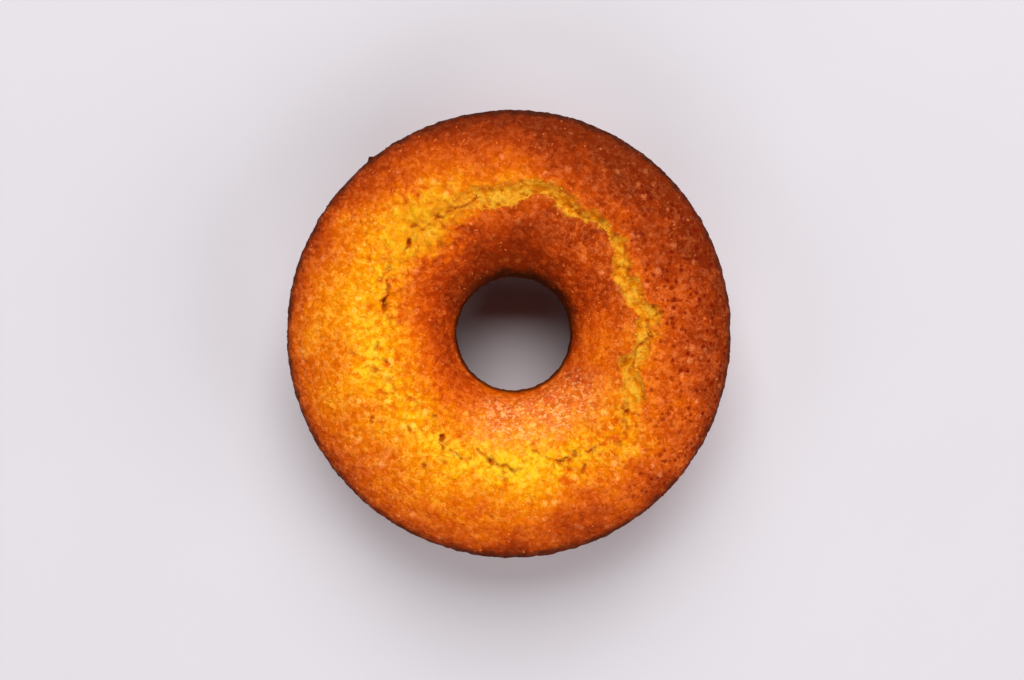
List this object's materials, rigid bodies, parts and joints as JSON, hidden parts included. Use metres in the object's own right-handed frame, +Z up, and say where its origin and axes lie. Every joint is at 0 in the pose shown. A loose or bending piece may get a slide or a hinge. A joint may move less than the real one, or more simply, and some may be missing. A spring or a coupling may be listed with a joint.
{
  "type": "cornmeal ring cake",
  "caption": "Round cornmeal ring cake with a domed, browned top crust split along its crown, sides that lean out upwards and an open centre hole; stands on its flat base.",
  "frame": {"origin": "middle of the flat base, in the middle of the cake's outline", "axes": "+Z up, out of the domed top; +X and +Y lie in the base"},
  "size_m": [0.199, 0.201, 0.0698],
  "materials": {
    "crust": "browned crust over yellow crumb, matt to satin"
  },
  "bodies": {
    "root": {"cake": "crust"}
  },
  "joints": []
}
